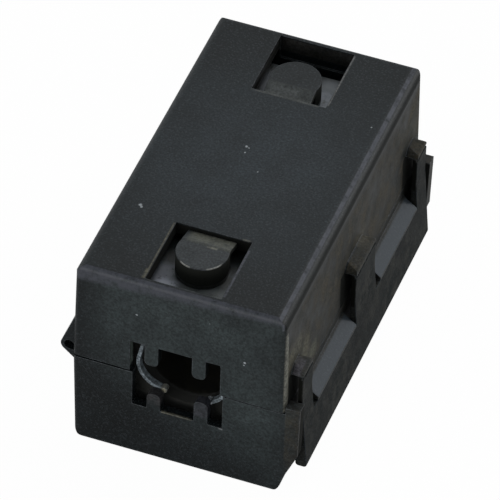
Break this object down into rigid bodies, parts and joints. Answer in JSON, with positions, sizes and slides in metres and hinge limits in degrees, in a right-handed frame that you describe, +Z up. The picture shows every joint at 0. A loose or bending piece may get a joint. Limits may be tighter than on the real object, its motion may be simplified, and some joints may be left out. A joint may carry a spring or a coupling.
{
  "type": "clip-on ferrite bead",
  "caption": "Hinged case that snaps shut to hold ferrite halves round a cable, with toothed end openings, spring tongues in roof windows and a latch plate.",
  "frame": {"origin": "middle of the base, on the surface the closed clamp stands on", "axes": "+Y along the cable, +X towards the latch, -X towards the hinge, +Z up through the roof"},
  "size_m": [0.0208, 0.0322, 0.019],
  "materials": {
    "case_plastic": "matt moulded black",
    "ferrite": "ground, dark grey"
  },
  "bodies": {
    "lower_half": {"lower_case": "case_plastic", "lower_core": "ferrite", "hinge_strap": "case_plastic"},
    "upper_half": {"upper_case": "case_plastic", "upper_core": "ferrite"},
    "latch": {"latch_plate": "case_plastic"},
    "near_spring": {"near_core_spring": "case_plastic"},
    "far_spring": {"far_core_spring": "case_plastic"}
  },
  "joints": [
    {"name": "clamp_hinge", "type": "hinge", "parent": "lower_half", "child": "upper_half", "pos_m": [-0.01025, 0, 0.0095], "axis": [0, -1, 0], "range_deg": [0, 180]},
    {"name": "latch_flex", "type": "hinge", "parent": "upper_half", "child": "latch", "pos_m": [0.00985, 0, 0.0122], "axis": [0, -1, 0], "range_deg": [0, 12], "stiffness_Nm_per_rad": 0.05},
    {"name": "near_spring_flex", "type": "hinge", "parent": "upper_half", "child": "near_spring", "pos_m": [0, -0.00855, 0.01855], "axis": [-1, 0, 0], "range_deg": [0, 6], "stiffness_Nm_per_rad": 0.05},
    {"name": "far_spring_flex", "type": "hinge", "parent": "upper_half", "child": "far_spring", "pos_m": [0, 0.00855, 0.01855], "axis": [1, 0, 0], "range_deg": [0, 6], "stiffness_Nm_per_rad": 0.05}
  ]
}
